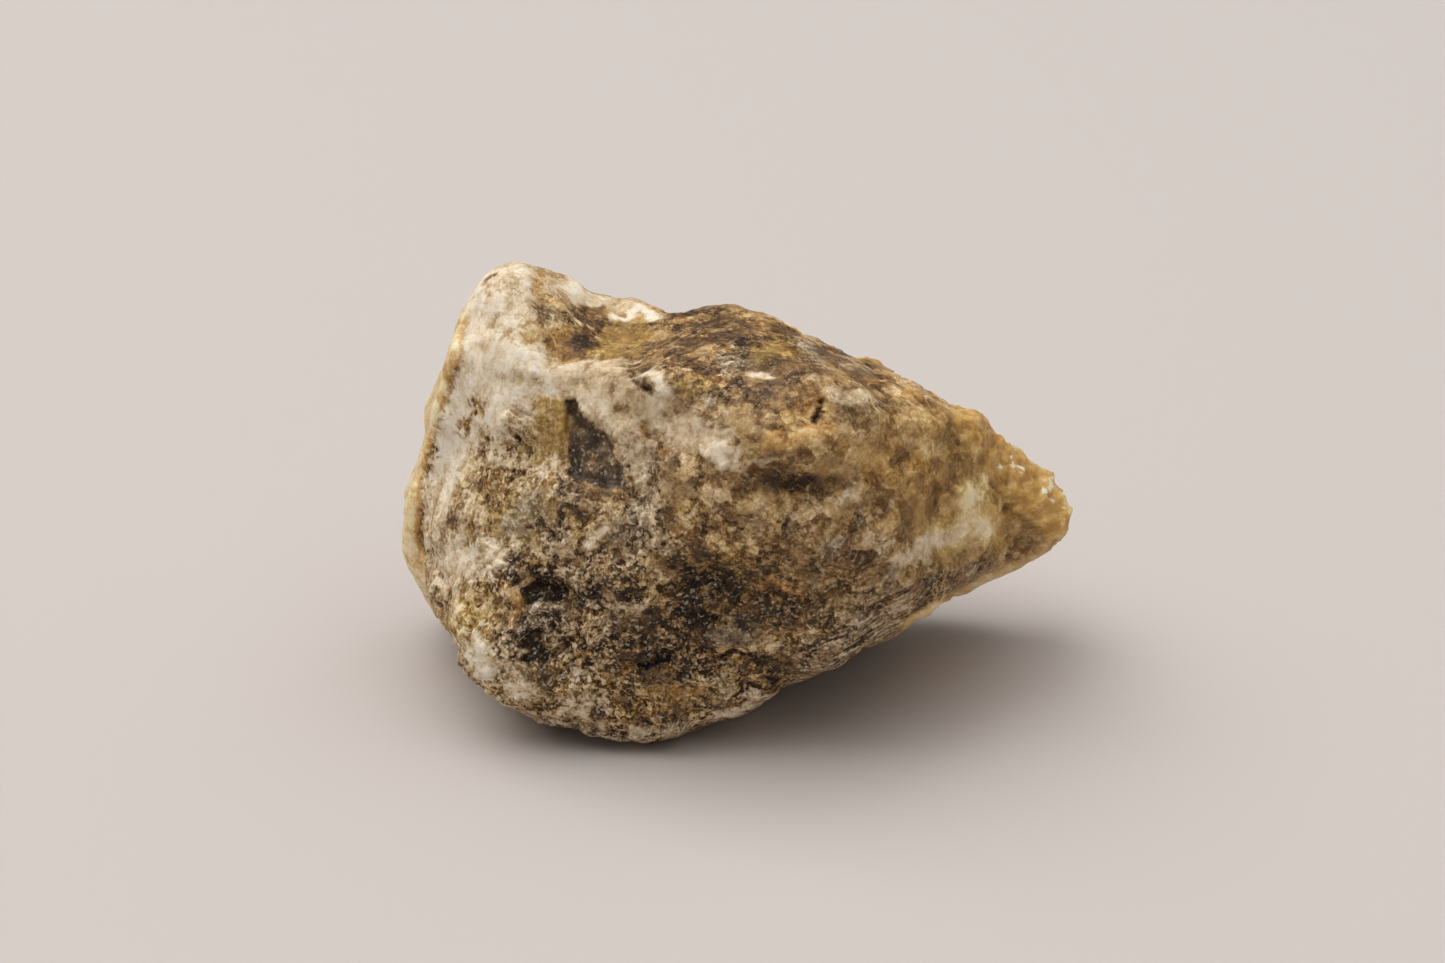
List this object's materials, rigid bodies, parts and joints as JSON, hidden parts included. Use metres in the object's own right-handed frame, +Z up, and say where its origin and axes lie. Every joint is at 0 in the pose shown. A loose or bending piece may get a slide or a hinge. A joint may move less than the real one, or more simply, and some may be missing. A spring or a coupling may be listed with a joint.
{
  "type": "orchid calcite specimen",
  "caption": "Rough hand-sized lump of brown, white and honey calcite with a raised horn at one end and a pointed, undercut end, resting on a small flat spot.",
  "frame": {"origin": "middle of the small flat spot that the lump rests on", "axes": "+Z up, +X along the length to the pointed end, -Y towards the weathered crust side"},
  "size_m": [0.0644, 0.0359, 0.0415],
  "materials": {
    "calcite": "rough weathered crust of brown, cream and grey over glossy translucent honey calcite"
  },
  "bodies": {
    "root": {"calcite": "calcite"}
  },
  "joints": []
}
